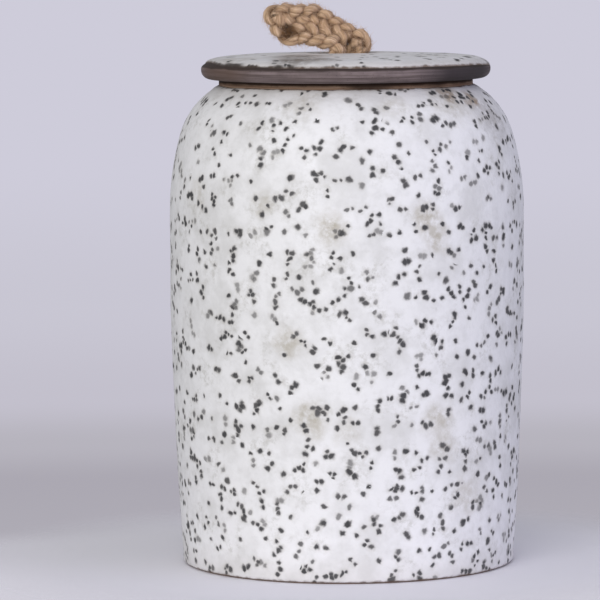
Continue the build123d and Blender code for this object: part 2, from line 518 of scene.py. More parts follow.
# rope below the lid: each leg takes a turn and a third and leaves through the middle as a tail
knotShape = {
    "height": 0.1573,
    "turnRadius": 0.0046,
    "legTop": 0.1692,
    "legSide": ropeLoop["holeSide"],
    "turns": 1.35,
    "turnPoints": 12,
    "startAngle": 20.0,
    "turnEnd": 0.0012,
    "legFoot": [(0.0, 1.9), (0.45, 1.25)],  # to the back and up, in turn radii, where a leg meets its turn
    "tail": [(0.002625, -0.00138), (0.006825, 0.0), (0.0105, -0.0008), (0.0150, -0.0080)],  # across and up
    "tight": 0.86,
}


def knotRoute(shape, facing):
    side, radius, middle = shape["legSide"], shape["turnRadius"], shape["height"]
    points = [(-side, 0, shape["legTop"])]
    points += [(-side, back * radius, middle + up * radius) for back, up in shape["legFoot"]]
    steps = round(shape["turns"] * shape["turnPoints"])
    for number in range(steps + 1):
        angle = math.radians(shape["startAngle"] - 360 * shape["turns"] * number / steps)
        across = -side + (side - shape["turnEnd"]) * number / steps
        points.append((across, radius * math.cos(angle), middle + radius * math.sin(angle)))
    points += [(across, 0, middle + up) for across, up in shape["tail"]]
    return [(facing * x, facing * y, z) for x, y, z in points]


knotRoutes = []
for facing in (1, -1):
    knotLine, knotAlong = routeLine(knotRoute(knotShape, facing), plaitLook["step"])
    knotSpread = np.full(len(knotLine), knotShape["tight"])
    knotRoutes.append((knotLine, knotAlong, (1, 0, 0), knotSpread, np.zeros(len(knotLine))))
knotRope = plaitPiece("knotRope", knotRoutes, plaitLook, jute)[0]
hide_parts("rope_knot")
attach(knotRope, "lid")
print("knot tied below the lid")

# white glaze with iron specks, over brown stoneware; sizes in millimetres
glazeLook = {
    "white": (0.815, 0.805, 0.810, 1),
    "cloud": (0.64, 0.63, 0.62, 1),
    "smudge": (0.50, 0.485, 0.45, 1),
    "stain": (0.40, 0.36, 0.28, 1),
    "smoke": (0.20, 0.175, 0.155, 1),
    "ochre": (0.25, 0.16, 0.085, 1),
    "edge": (0.13, 0.085, 0.06, 1),
    "burn": (0.042, 0.030, 0.024, 1),
    "speck": (0.046, 0.045, 0.047, 1),
    "paleSpeck": (0.17, 0.16, 0.155, 1),
    "halo": (0.50, 0.47, 0.43, 1),
    "veil": (0.50, 0.465, 0.44, 1),
    "layers": [  # size of the cells, specks' radii, and the share of cells that hold one
        {"cell": 7.2, "small": 0.62, "large": 1.00, "keep": 0.74, "shift": (0.0, 0.0, 0.0)},
        {"cell": 8.2, "small": 0.64, "large": 1.06, "keep": 0.74, "shift": (331.7, 212.3, 0.0)},
        {"cell": 9.4, "small": 0.56, "large": 1.12, "keep": 0.72, "shift": (683.1, 544.9, 0.0)},
    ],
    "pairs": [  # share of specks with one more beside them, how far off, its size, and what shuffles them
        {"share": 0.40, "off": (1.25, 2.3), "size": 0.90, "turn": 37.0, "luck": 13.0},
        {"share": 0.16, "off": (1.3, 2.5), "size": 0.78, "turn": 61.0, "luck": 13.0},
    ],
    "scatter": 0.82,
    "crowdSize": 15,
    "crowdSpan": (0.3, 0.7),
    "soft": 0.44,
    "haloReach": 0.9,
    "haloStrength": 0.40,
    "strong": (0.0, 0.35, 0.58, 0.98),  # span of a speck's draw, and its strength over that span
    "paler": (0.6, 1.0, 0.0, 0.35),  # the same for its share of the paler ink
    "warps": [(5.0, 1.6), (1.5, 1.25)],  # size and reach of the wander in the specks' outlines
    "unrollRadius": 60.0,  # specks are placed on the wall as if it were unrolled at this radius
    # a noise's size, detail and roughness, the span of it that shows, and its strength
    "clouds": [(16, 4.0, 0.6, (0.44, 0.70), 0.75), (4.5, 3.0, 0.6, (0.46, 0.76), 0.46)],
    "smudges": (2.2, 3.0, 0.7, (0.42, 0.70), 0.6),
    "smudged": (11, 2.0, 0.5, (0.48, 0.66), 1.0),  # where smudges lie
    "markFade": (0.1, 1.15),  # shares of a mark's radius between which it fades
    "ragged": (6.0, 9.0, 4.0),  # size, reach and detail of the wander in the marks' outlines
    "breaks": (2.6, 3.0, 0.65),  # the noise that breaks up a mark, and the span of it for each kind
    "broken": {"stain": (0.19, 0.68), "smoke": (0.22, 0.52), "ochre": (0.30, 0.52)},
    "fray": (0.4, 3.0),  # scale and detail of the ravelled line where the glaze ends
    "frayReach": -1.6,
    "edgeSpan": (-0.75, 0.25, 0.95, 0.0),
    "bareFade": (0.3, 1.0),
    "bareSoft": (-1.5, -0.5),
    "relief": [(3.4, 2.0, 0.5, 1.2), (0.8, 3.0, 0.6, 0.30)],  # size, detail, roughness and share
    "bump": 0.17 * mm,
    "glossNoise": (0.2, 3.0),
    "gloss": (0.3, 0.7, 0.42, 0.62),
    "dull": 0.14,  # iron specks are duller
    "finish": {"Specular IOR Level": 0.4},
}
insideLook = {**glazeLook, "layers": [  # fewer layers, because the floor has specks of its own
    {"cell": 5.6, "small": 0.60, "large": 1.02, "keep": 0.74, "shift": (0.0, 0.0, 0.0)},
    {"cell": 6.6, "small": 0.60, "large": 1.08, "keep": 0.74, "shift": (331.7, 212.3, 0.0)},
]}
jarMarks = {  # faint stains, and thin places where the clay shows through: centre, radius and strength
    "crowd": (0.35, 1.65),
    "veil": (0.3, 11.0, 0.30, 0.0),  # span and strength of the thinner glaze along its edge
    "stain": [
        ((26.0, -54.0, 121.0), 7.0, 0.85),
        ((29.0, -52.0, 113.5), 6.0, 0.85),
        ((-5.0, -59.0, 118.0), 7.0, 0.90),
        ((-27.0, -53.0, 126.0), 6.0, 0.60),
        ((-19.0, -57.0, 80.0), 7.0, 0.75),
        ((-13.0, -58.5, 56.0), 8.0, 0.85),
        ((30.0, -51.0, 54.0), 8.0, 0.70),
        ((31.5, -50.0, 44.5), 6.0, 0.70),
        ((40.0, -43.0, 28.0), 9.0, 0.50),
        ((-13.0, -46.0, 156.0), 8.0, 0.60),
        ((15.0, -45.0, 156.0), 7.0, 0.60),
        ((-49.0, -33.0, 128.0), 7.0, 0.50),
        ((0.0, -60.0, 51.0), 6.0, 0.40),
        ((34.0, -34.0, 158.5), 11.0, 0.70),
        ((30.0, 50.0, 90.0), 8.0, 0.60),
        ((-42.0, 40.0, 60.0), 8.0, 0.60),
        ((-8.0, 59.0, 126.0), 7.0, 0.60),
        ((52.0, 26.0, 132.0), 7.0, 0.55),
        ((-55.0, 20.0, 104.0), 6.0, 0.50),
        ((12.0, 58.0, 34.0), 7.0, 0.55),
    ],
    "smoke": [
        ((47.0, -22.0, 153.0), 12.0, 0.44),
        ((-30.0, 44.0, 150.0), 10.0, 0.28),
    ],
    "ochre": [
        ((34.0, -32.5, 161.0), 5.2, 0.95),
        ((41.8, -26.0, 158.6), 4.4, 0.9),
        ((-30.0, 36.0, 158.6), 3.0, 0.6),
    ],
    "bare": [],
}
insideMarks = {
    **jarMarks,
    "stain": [((20.0, 46.0, 70.0), 9.0, 0.6), ((-10.0, -8.0, 6.0), 8.0, 0.5)],
    "smoke": [],
}
lidMarks = {
    "crowd": (0.20, 0.62),
    "veil": (0.3, 7.0, 0.50, 0.0),
    "stain": [
        ((-37.0, -22.0, 171.5), 11.0, 0.6),
        ((8.0, 24.0, 173.0), 9.0, 0.4),
        ((30.0, -14.0, 172.0), 10.0, 0.3),
    ],
    "smoke": [
        # a dark stain by the rope's foot, partly painted shadow of the rope
        ((-16.0, -20.0, 173.0), 13.0, 0.85),
        ((-17.0, -36.0, 172.5), 10.0, 0.95),
        ((-16.0, -41.5, 171.8), 6.0, 0.8),
        ((-8.0, -36.0, 172.8), 8.0, 0.8),
        ((24.0, 30.0, 172.0), 8.0, 0.4),
    ],
    "ochre": [],
    "bare": [  # centre, radius, strength, and how far it reaches in from the glaze's edge
        ((-41.0, -25.0, 170.4), 15.0, 0.9, 1.0),
        ((-38.3, -29.8, 170.4), 7.0, 0.95, 2.0),
        ((-30.0, -38.2, 170.4), 12.0, 0.9, 0.8),
        ((-22.6, -43.0, 170.4), 3.2, 0.95, 1.9),
        ((-18.2, -45.0, 170.4), 2.6, 0.95, 1.8),
        ((12.0, 47.5, 170.5), 9.0, 0.8, 1.6),
    ],
}


def wallFields(tree, look, place, bent, end):
    # a wall's front and back halves, unrolled, each with the specks whose centres are in it
    parts = splitAxes(tree, bent)
    level = splitAxes(tree, place)[2]
    along = calc(tree, "ADD", attributeLevel(tree, "along"), calc(tree, "SUBTRACT", parts[2], level))
    unroll = look["unrollRadius"]
    squash = calc(tree, "DIVIDE", lengthOf(tree, joinAxes(tree, parts[0], parts[1])), unroll)
    fields = []
    for facing in (1, -1):
        aside = calc(tree, "MULTIPLY", parts[0], facing)
        ahead = calc(tree, "MULTIPLY", parts[1], -facing)
        across = calc(tree, "MULTIPLY", calc(tree, "ARCTAN2", aside, ahead), unroll)
        spot = joinAxes(tree, across, along)
        fields.append({"spot": spot, "squash": squash, "half": unroll * math.pi / 2, "end": end})
    return fields


def flatField(bent, reach):
    return {"spot": bent, "squash": 1.0, "reach": reach}


def ownsSpeck(tree, field, centre):
    if "reach" in field:
        return calc(tree, "LESS_THAN", lengthOf(tree, centre), field["reach"])
    parts = splitAxes(tree, centre)
    beside = calc(tree, "LESS_THAN", calc(tree, "ABSOLUTE", parts[0]), field["half"])
    return calc(tree, "MULTIPLY", beside, calc(tree, "LESS_THAN", parts[1], field["end"]))


def pairedSpeck(tree, off, radius, draw, pair):
    # distance to a neighbour's edge, measured as if it had the first speck's radius
    angle = calc(tree, "MULTIPLY", draw[0], pair["turn"])
    luck = calc(tree, "FRACT", calc(tree, "MULTIPLY", draw[2], pair["luck"]))
    reach = remap(tree, luck, 0.0, 1.0, *pair["off"], "LINEAR")
    aside = calc(tree, "MULTIPLY", calc(tree, "COSINE", angle), reach)
    above = calc(tree, "MULTIPLY", calc(tree, "SINE", angle), reach)
    away = lengthOf(tree, vectorCalc(tree, "SUBTRACT", off, joinAxes(tree, aside, above)))
    smaller = calc(tree, "ADD", away, calc(tree, "MULTIPLY", radius, 1 - pair["size"]))
    chance = calc(tree, "FRACT", calc(tree, "MULTIPLY", draw[2], pair["turn"]))
    farOff = 99.0  # further than any cell reaches
    missing = calc(tree, "MULTIPLY", calc(tree, "GREATER_THAN", chance, pair["share"]), farOff)
    return calc(tree, "ADD", smaller, missing)


def speckLayer(tree, field, look, layer, crowdRange):
    moved = vectorCalc(tree, "ADD", field["spot"], layer["shift"])
    inputs = {"Vector": moved, "Scale": 1 / layer["cell"], "Randomness": look["scatter"]}
    cells = addNode(tree, "TexVoronoi", inputs, voronoi_dimensions="2D")
    centre = vectorCalc(tree, "SUBTRACT", cells.outputs["Position"], layer["shift"])
    stretch = joinAxes(tree, field["squash"], 1.0)
    off = vectorCalc(tree, "MULTIPLY", vectorCalc(tree, "SUBTRACT", field["spot"], centre), stretch)
    draw = addNode(tree, "SeparateColor", {0: cells.outputs["Color"]}).outputs
    radius = remap(tree, draw[0], 0.0, 1.0, layer["small"], layer["large"], "LINEAR")
    away = lengthOf(tree, off)
    for pair in look["pairs"]:
        away = calc(tree, "MINIMUM", away, pairedSpeck(tree, off, radius, draw, pair))
    crowd = noiseLevel(tree, centre, 1 / look["crowdSize"])
    crowd = remap(tree, crowd, *look["crowdSpan"], *crowdRange, "LINEAR")
    keep = calc(tree, "MULTIPLY", calc(tree, "MULTIPLY", crowd, field["squash"]), layer["keep"])
    held = calc(tree, "MULTIPLY", calc(tree, "LESS_THAN", draw[1], keep), ownsSpeck(tree, field, centre))
    inner = calc(tree, "MULTIPLY", radius, 1 - look["soft"])
    outer = calc(tree, "MULTIPLY", radius, 1 + look["soft"])
    fringe = calc(tree, "ADD", outer, look["haloReach"])
    speck = calc(tree, "MULTIPLY", remap(tree, away, inner, outer, 1.0, 0.0), held)
    halo = calc(tree, "MULTIPLY", remap(tree, away, inner, fringe, 1.0, 0.0), held)
    return speck, halo, draw[2]


def glazeRecipe(tree, look, marks, findFields, edgeDistance=None):
    place = placeInMillimetres(tree)
    bent = place
    for size, reach in look["warps"]:
        bent = warped(tree, bent, size, reach)
    # cloudy white, a little greyer and warmer in soft patches
    color = look["white"]
    for cloud in look["clouds"]:
        color = mixColor(tree, mottled(tree, place, cloud), color, look["cloud"])
    patchy, smudge = (mottled(tree, place, look[kind]) for kind in ("smudged", "smudges"))
    smudge = calc(tree, "MULTIPLY", patchy, smudge)
    color = mixColor(tree, smudge, color, look["smudge"])
    ragged = warped(tree, place, *look["ragged"])
    for kind, span in look["broken"].items():
        broken = mottled(tree, place, (*look["breaks"], span, 1.0))
        for mark in marks[kind]:
            share = markShare(tree, ragged, *mark, look["markFade"])
            color = mixColor(tree, calc(tree, "MULTIPLY", share, broken), color, look[kind])
    if edgeDistance is not None:  # the glaze runs thin, and brown where it ends
        color = mixColor(tree, remap(tree, edgeDistance, *marks["veil"]), color, look["veil"])
    specks = [
        speckLayer(tree, field, look, layer, marks["crowd"])
        for field in findFields(tree, look, place, bent)
        for layer in look["layers"]
    ]
    for _, halo, _ in specks:
        color = mixColor(tree, calc(tree, "MULTIPLY", halo, look["haloStrength"]), color, look["halo"])
    inked = 0.0
    for speck, _, tone in specks:
        ink = mixColor(tree, remap(tree, tone, *look["paler"]), look["speck"], look["paleSpeck"])
        share = calc(tree, "MULTIPLY", speck, remap(tree, tone, *look["strong"]))
        color = mixColor(tree, share, color, ink)
        inked = calc(tree, "MAXIMUM", inked, speck)
    if edgeDistance is not None:
        ravel = calc(tree, "MULTIPLY", noiseLevel(tree, place, *look["fray"]), look["frayReach"])
        frayed = calc(tree, "ADD", edgeDistance, ravel)
        color = mixColor(tree, remap(tree, frayed, *look["edgeSpan"]), color, look["edge"])
        for *mark, reach in marks["bare"]:
            near = markShare(tree, bent, *mark, look["bareFade"])
            span = [reach + soft for soft in look["bareSoft"]]
            burnAndShade = calc(tree, "MULTIPLY", near, remap(tree, frayed, *span, 1.0, 0.0))
            color = mixColor(tree, burnAndShade, color, look["burn"])
    height = 0.0
    for size, detail, roughness, share in look["relief"]:
        level = noiseLevel(tree, place, 1 / size, detail, roughness)
        height = calc(tree, "ADD", height, calc(tree, "MULTIPLY", level, share))
    gloss = remap(tree, noiseLevel(tree, place, *look["glossNoise"]), *look["gloss"])
    gloss = calc(tree, "ADD", gloss, calc(tree, "MULTIPLY", inked, look["dull"]))
    return color, gloss, height


def glazeMaterial(name, look, marks, findFields):
    material, tree, shader = startMaterial(name, look["finish"])
    color, gloss, height = glazeRecipe(tree, look, marks, findFields, attributeLevel(tree, "edge"))
    wireFinish(tree, shader, color, height, look["bump"], gloss)
    return material


# bare stoneware, turned on the wheel; sizes in millimetres
clayGrain = {
    "pitch": (1.1, 1.3),  # turning lines in a millimetre, outwards and upwards
    "drift": 0.035,  # how fast a line changes on its way round
    "bands": (1.0, 3.0, 0.6),
    "bandSpan": (0.32, 0.7),
    "blotches": (9, 3.0, 0.6, (0.42, 0.72), 0.6),
    "gritSize": 0.45,
    "gritSpan": (0.62, 0.75, 0.0, 0.7),
    "gritShare": 0.5,
    "markFade": (0.3, 1.0),
    "bump": 0.12 * mm,
}
jarClay = {
    **clayGrain,
    "light": (0.30, 0.205, 0.145, 1),
    "dark": (0.145, 0.085, 0.055, 1),
    "grit": (0.05, 0.035, 0.028, 1),
    "finish": {"Roughness": 0.88, "Specular IOR Level": 0.15},
    "rim": (0.013, 0.005, 0.003, 1),  # painted shade of the crevice under the lid, darkening the rim
    "rimShadeSpan": (163.2, 164.2, 0.0, 0.92),
    "rimShadeWander": (0.2, 3.0),  # scale and detail of the wander in the painted shade's lower end
    "rimShadeReach": -0.8,
    "foot": (0.240, 0.170, 0.135, 1),  # wiped clay at the foot
    "footSpan": (0.5, 1.6, 0.75, 0.0),
    "ragged": (4.0, 6.0, 3.0),
    "gapShade": (0.020, 0.011, 0.008, 1),
    "gapShadeMarks": [  # centre, radius and strength of painted shade from the gap under the lid, on the rim
        ((9.0, -47.0, 163.2), 13.0, 0.90),
        ((33.0, -35.0, 163.2), 9.0, 0.55),
        ((-22.0, -43.0, 163.6), 5.0, 0.45),
        ((-20.0, 42.0, 163.2), 12.0, 0.70),
    ],
}
lidClay = {
    **clayGrain,
    "light": (0.220, 0.170, 0.170, 1),
    "dark": (0.098, 0.072, 0.070, 1),
    "grit": (0.035, 0.028, 0.027, 1),
    "finish": {"Roughness": 0.74, "Specular IOR Level": 0.3},
    "edgeLine": (0.030, 0.019, 0.015, 1),
    "edgeSpan": (169.95, 170.45, 0.0, 0.85),
    "edgeWander": (1 / 12, 3.0),  # scale and detail of the wander in the dark line below the glaze
    "edgeReach": 1.6,
    "patches": [  # centre, radius, strength and colour of firing marks
        ((42.0, -27.0, 168.0), 29.0, 0.95, (0.038, 0.029, 0.031, 1)),
        ((-44.0, -24.0, 168.0), 23.0, 0.70, (0.105, 0.064, 0.046, 1)),
        ((20.0, 45.0, 168.0), 20.0, 0.6, (0.070, 0.050, 0.046, 1)),
    ],
    "glazedRadius": (12.0, 15.0),
    "glazedHeight": (-1.1, -0.7),  # from the lid's top
}


def clayRecipe(tree, look, place):
    parts = splitAxes(tree, place)
    flat = joinAxes(tree, parts[0], parts[1])
    radius = lengthOf(tree, flat)
    outward, upward = look["pitch"]
    rising = calc(tree, "MULTIPLY", parts[2], upward)
    lines = calc(tree, "ADD", calc(tree, "MULTIPLY", radius, outward), rising)
    slow = splitAxes(tree, scaledBy(tree, flat, look["drift"]))
    bands = noiseLevel(tree, joinAxes(tree, slow[0], slow[1], lines), *look["bands"])
    color = mixColor(tree, remap(tree, bands, *look["bandSpan"]), look["dark"], look["light"])
    color = mixColor(tree, mottled(tree, place, look["blotches"]), color, look["dark"])
    grit = noiseLevel(tree, place, 1 / look["gritSize"])
    color = mixColor(tree, remap(tree, grit, *look["gritSpan"]), color, look["grit"])
    height = calc(tree, "ADD", bands, calc(tree, "MULTIPLY", grit, look["gritShare"]))
    return color, height, radius, parts[2]


def jarClayMaterial(look):
    material, tree, shader = startMaterial("jarClay", look["finish"])
    place = placeInMillimetres(tree)
    color, height, _, level = clayRecipe(tree, look, place)
    # painted shade of the crevice under the lid, darkening the top of the rim
    wander = calc(tree, "MULTIPLY", noiseLevel(tree, place, *look["rimShadeWander"]), look["rimShadeReach"])
    burnAndShade = remap(tree, calc(tree, "ADD", level, wander), *look["rimShadeSpan"])
    color = mixColor(tree, burnAndShade, color, look["rim"])
    ragged = warped(tree, place, *look["ragged"])
    # painted shade from the gap under the lid, darker at places on the rim
    for mark in look["gapShadeMarks"]:
        color = mixColor(tree, markShare(tree, ragged, *mark, look["markFade"]), color, look["gapShade"])
    color = mixColor(tree, remap(tree, level, *look["footSpan"]), color, look["foot"])
    wireFinish(tree, shader, color, height, look["bump"])
    return material


def lidFields(tree, look, place, bent):
    return [flatField(bent, lidSkin["rim"] / mm)]


def lidClayMaterial(look, glaze, marks):
    material, tree, shader = startMaterial("lidClay", look["finish"])
    place = placeInMillimetres(tree)
    color, height, radius, level = clayRecipe(tree, look, place)
    for *mark, tint in look["patches"]:
        color = mixColor(tree, markShare(tree, place, *mark, look["markFade"]), color, tint)
    wander = calc(tree, "MULTIPLY", noiseLevel(tree, place, *look["edgeWander"]), look["edgeReach"])
    line = remap(tree, calc(tree, "ADD", level, wander), *look["edgeSpan"])
    color = mixColor(tree, line, color, look["edgeLine"])
    # around the rope holes the glaze is thin enough to be only a colour
    white, gloss, smooth = glazeRecipe(tree, glaze, marks, lidFields)
    high = remap(tree, level, *[lidTop / mm + drop for drop in look["glazedHeight"]])
    near = remap(tree, radius, *look["glazedRadius"], 1.0, 0.0)
    share = calc(tree, "MULTIPLY", high, near)
    color = mixColor(tree, share, color, white)
    height = mixValue(tree, share, height, smooth)
    gloss = mixValue(tree, share, look["finish"]["Roughness"], gloss)
    wireFinish(tree, shader, color, height, look["bump"], gloss)
    return material


siliconeLook = {
    "clear": (0.78, 0.78, 0.76, 1),
    "hazy": (0.66, 0.66, 0.63, 1),
    "haze": (1 / 6, 3.0),
    "dust": 1 / 1.2,
    "gloss": (0.3, 0.7, 0.38, 0.55),
    "bump": 0.02 * mm,
    "finish": {"Specular IOR Level": 0.45, "Subsurface Weight": 0.25, "Subsurface Scale": 0.8 * mm},
}


def siliconeMaterial(look):
    material, tree, shader = startMaterial("silicone", look["finish"])
    place = placeInMillimetres(tree)
    color = mixColor(tree, noiseLevel(tree, place, *look["haze"]), look["clear"], look["hazy"])
    dust = noiseLevel(tree, place, look["dust"])
    wireFinish(tree, shader, color, dust, look["bump"], remap(tree, dust, *look["gloss"]))
    return material


def setFinish(node, material):
    slots = nodes[node].data.materials
    for number in range(len(slots)):
        slots[number] = material
    if not len(slots):
        slots.append(material)


# glaze skins: closed thin shells on the clay, with a rounded lip where the glaze ends
skinLook = {
    "thick": 0.34 * mm,
    "sunk": 0.45 * mm,
    "root": 0.12 * mm,  # how far below the clay's surface a lip starts
    "lipRows": 7,
    "swell": 0.30,  # extra thickness where glaze gathers behind its lip
    "swellAt": 1.6,  # how far behind, in lip widths
    "dents": [(34 * mm, 0.22 * mm), (11 * mm, 0.09 * mm), (5 * mm, 0.035 * mm)],  # size and depth of waves
    "calm": 4 * mm,  # the waves die away this near an edge
    "backRows": 26,
    "weld": 0.02 * mm,
    "pathStep": 0.1 * mm,
    "pathSmooth": 9,
    "fromSide": 0.2,  # where the rays that find the clay's surface start
    "fromAbove": 0.3,
}
outerSkin = {
    "sides": 360,
    "rowStep": 0.95 * mm,
    "lip": (0.9 * mm, 1.1 * mm),
    "foot": 0.3 * mm,
    "top": 163.5 * mm,
    "startLine": (0.10 * mm, 2.0, 1),  # depth, coarseness and draw of the wander where the glaze ends
    "endLine": (0.28 * mm, 3.0, 2),
}
innerSkin = {
    "sides": 150,
    "rowStep": 2.2 * mm,
    "lip": (1.2 * mm, 0.0),
    "top": 157.5 * mm,
    "start": 30 * mm,  # height from which rays look for the inside
    "rays": 900,
    "mouthRadius": 38 * mm,
    "floorRound": 4 * mm,
    "startLine": (0.4 * mm, 3.0, 3),
}
lidSkin = {
    "sides": 300,
    "rowStep": 0.8 * mm,
    "lip": (1.1 * mm, 2.4 * mm),
    "rim": 49.1 * mm,
    "setBack": 1.2 * mm,  # from the rim to the usual end of the glaze
    "holeSide": ropeLoop["holeSide"],
    "holeReach": 5.6 * mm,
    # where the glaze stops further from the rim, or nearer: bearing and half width in degrees, and depth
    "bites": [(194, 13, 1.5 * mm), (357, 17, -1.1 * mm), (80, 18, 1.8 * mm)],
    "startLine": (0.30 * mm, 3.0, 4),
}


def surfaceTree(node):
    data = nodes[node].data
    return BVHTree.FromPolygons(
        [corner.co for corner in data.vertices], [list(face.vertices) for face in data.polygons]
    )


def outerPath(tree, skin, look):
    heights = np.arange(skin["foot"], skin["top"], look["pathStep"])
    return np.array([(tree.ray_cast((look["fromSide"], 0, z), (-1, 0, 0))[0].x, z) for z in heights])


def innerPath(tree, skin):
    path = []
    steepest = math.atan2(skin["top"] - skin["start"], skin["mouthRadius"])
    for number in range(skin["rays"]):  # sweep a ray from just below the mouth down to the floor's middle
        turn = number / (skin["rays"] - 1)
        aim = (1 - turn) * steepest - turn * math.pi / 2
        hit = tree.ray_cast((0, 0, skin["start"]), (math.cos(aim), 0, math.sin(aim)))[0]
        path.append((max(hit.x, 0.0), hit.z))
    return np.array(path)


def topPath(tree, skin, look):
    spots = np.arange(skin["rim"], 0, -look["pathStep"])
    return np.array([(r, tree.ray_cast((0, r, look["fromAbove"]), (0, 0, -1))[0].z) for r in spots])


def smoothed(path, width):
    kernel = np.ones(width) / width
    padded = np.pad(path, ((width // 2, width // 2), (0, 0)), mode="edge")
    even = np.stack([np.convolve(padded[:, axis], kernel, "valid") for axis in range(2)], axis=1)
    even[0], even[-1] = path[0], path[-1]
    return even


def glazeSkin(name, path, skin, look, material, startTrim, endTrim):
    # startTrim and endTrim cut the path's ends back, for each angle round the axis
    length = runningLength(path)
    tiny = 1e-12  # gives a direction where the path stands still
    ahead = unit(np.gradient(path, axis=0) + tiny)
    out = np.stack([ahead[:, 1], -ahead[:, 0]], axis=1)
    angles = np.linspace(0, 2 * math.pi, skin["sides"], endpoint=False)
    starts = np.array([startTrim(a) for a in angles])
    ends = length[-1] - np.array([endTrim(a) for a in angles])
    lipIn, lipOut = skin["lip"]
    span = float(np.mean(ends - starts))
    curve = 1 - np.cos(np.linspace(0, math.pi / 2, look["lipRows"]))
    shares = [lipIn * curve / span] if lipIn else [np.zeros(1)]
    middle = np.linspace(lipIn / span, 1 - lipOut / span, int((span - lipIn - lipOut) / skin["rowStep"]))
    shares.append(middle[1:-1])
    shares.append(1 - lipOut * curve[::-1] / span if lipOut else np.ones(1))
    shares = np.concatenate(shares)

    def rows(where, lift):
        at = starts[None, :] + where[:, None] * (ends - starts)[None, :]
        radius = np.interp(at, length, path[:, 0])
        height = np.interp(at, length, path[:, 1])
        outAcross = np.interp(at, length, out[:, 0])
        outUp = np.interp(at, length, out[:, 1])
        fromStart = at - starts[None, :]
        toEnd = ends[None, :] - at
        proud = lift(radius, height, fromStart, toEnd)
        radius = np.maximum(radius + outAcross * proud, 0)
        points = np.stack([radius * np.cos(angles), radius * np.sin(angles), height + outUp * proud], axis=2)
        return points, np.minimum(fromStart if lipIn else 1.0, toEnd if lipOut else 1.0), at

    def lipShape(distance, lip):
        if not lip:
            return np.ones_like(distance)
        share = np.clip(distance / lip, 0, 1)
        bead = look["swell"] * np.exp(-((distance - look["swellAt"] * lip) / lip) ** 2)
        return np.sqrt(1 - (1 - share) ** 2) * (1 + bead)

    def frontLift(radius, height, fromStart, toEnd):
        dents = np.zeros_like(radius)
        for size, depth in look["dents"]:
            for row in range(radius.shape[0]):
                for column in range(radius.shape[1]):
                    r, a, z = radius[row, column] / size, angles[column], height[row, column] / size
                    dents[row, column] += depth * noise.noise((r * math.cos(a), r * math.sin(a), z))
        calm = np.clip(np.minimum(fromStart, toEnd) / look["calm"], 0, 1)
        shape = lipShape(fromStart, lipIn) * lipShape(toEnd, lipOut)
        return -look["root"] + (look["root"] + look["thick"]) * shape + dents * calm

    def backLift(radius, height, fromStart, toEnd):
        return np.full_like(radius, -look["sunk"])

    front, edge, frontAlong = rows(shares, frontLift)
    back, backEdge, backAlong = rows(np.linspace(1, 0, look["backRows"]), backLift)
    points = np.concatenate([front, back])
    edges = np.concatenate([
        np.broadcast_to(edge, front.shape[:2]), np.broadcast_to(backEdge, back.shape[:2])
    ])
    along = np.concatenate([frontAlong, backAlong])
    count, sides = points.shape[:2]
    faces = []
    for row in range(count):
        for k in range(sides):
            a, b = row * sides + k, row * sides + (k + 1) % sides
            c, d = (row + 1) % count * sides + (k + 1) % sides, (row + 1) % count * sides + k
            faces.append((a, b, c, d))
    piece = addPiece(name, points.reshape(-1, 3), faces, material)
    setLevels(piece, "edge", (edges / mm).ravel())
    setLevels(piece, "along", (along / mm).ravel())
    return piece


def closePole(piece, look):
    shape = bmesh.new()
    shape.from_mesh(piece.data)
    bmesh.ops.remove_doubles(shape, verts=shape.verts, dist=look["weld"])
    shape.to_mesh(piece.data)
    shape.free()


def wave(depth, coarse, mark):
    # wander of a dipped glaze line round the axis, with a finer wander at half its depth
    return lambda a: depth * (
        1
        + noise.noise((coarse * math.cos(a), coarse * math.sin(a), mark))
        + 0.5 * noise.noise((4 * coarse * math.cos(a), 4 * coarse * math.sin(a), mark + 5))
    )


def bitten(skin, line):
    def trim(a):
        depth = skin["setBack"] + line(a)
        for bearing, half, bite in skin["bites"]:
            aside = (math.degrees(a) - bearing + 180) % 360 - 180
            depth += bite * math.exp(-(aside / half) ** 2)
        return max(depth, 0.0)
    return trim


def holeTrim(skin):
    # reach of the bare place round the two rope holes, from the axis
    def reach(a):
        side, radius = skin["holeSide"], skin["holeReach"]
        across, back = abs(math.cos(a)), abs(math.sin(a))
        if back * side <= radius * across:
            return side * across + math.sqrt(max(radius ** 2 - (side * back) ** 2, 0))
        return radius / back
    return reach


jarTree = surfaceTree("jar_body")
lidTree = surfaceTree("lid")
outside = smoothed(outerPath(jarTree, outerSkin, skinLook), skinLook["pathSmooth"])
inside = smoothed(innerPath(jarTree, innerSkin), skinLook["pathSmooth"])
top = smoothed(topPath(lidTree, lidSkin, skinLook), skinLook["pathSmooth"])
wallRows = inside[:, 1] > inside[-1, 1] + innerSkin["floorRound"]
wallEnd = runningLength(inside)[wallRows][-1] / mm
floorReach = inside[wallRows][-1, 0] / mm


def jarFields(tree, look, place, bent):
    return wallFields(tree, look, place, bent, outerSkin["top"] / mm * 2)  # past the wall's end


def insideFields(tree, look, place, bent):
    return wallFields(tree, look, place, bent, wallEnd) + [flatField(bent, floorReach)]


setFinish("jar_body", jarClayMaterial(jarClay))
setFinish("lid", lidClayMaterial(lidClay, glazeLook, lidMarks))
setFinish("seal_ring", siliconeMaterial(siliconeLook))
jarGlazeFinish = glazeMaterial("jarGlaze", glazeLook, jarMarks, jarFields)
insideGlazeFinish = glazeMaterial("insideGlaze", insideLook, insideMarks, insideFields)
lidGlazeFinish = glazeMaterial("lidGlaze", glazeLook, lidMarks, lidFields)
print("clay, glaze and silicone mixed")

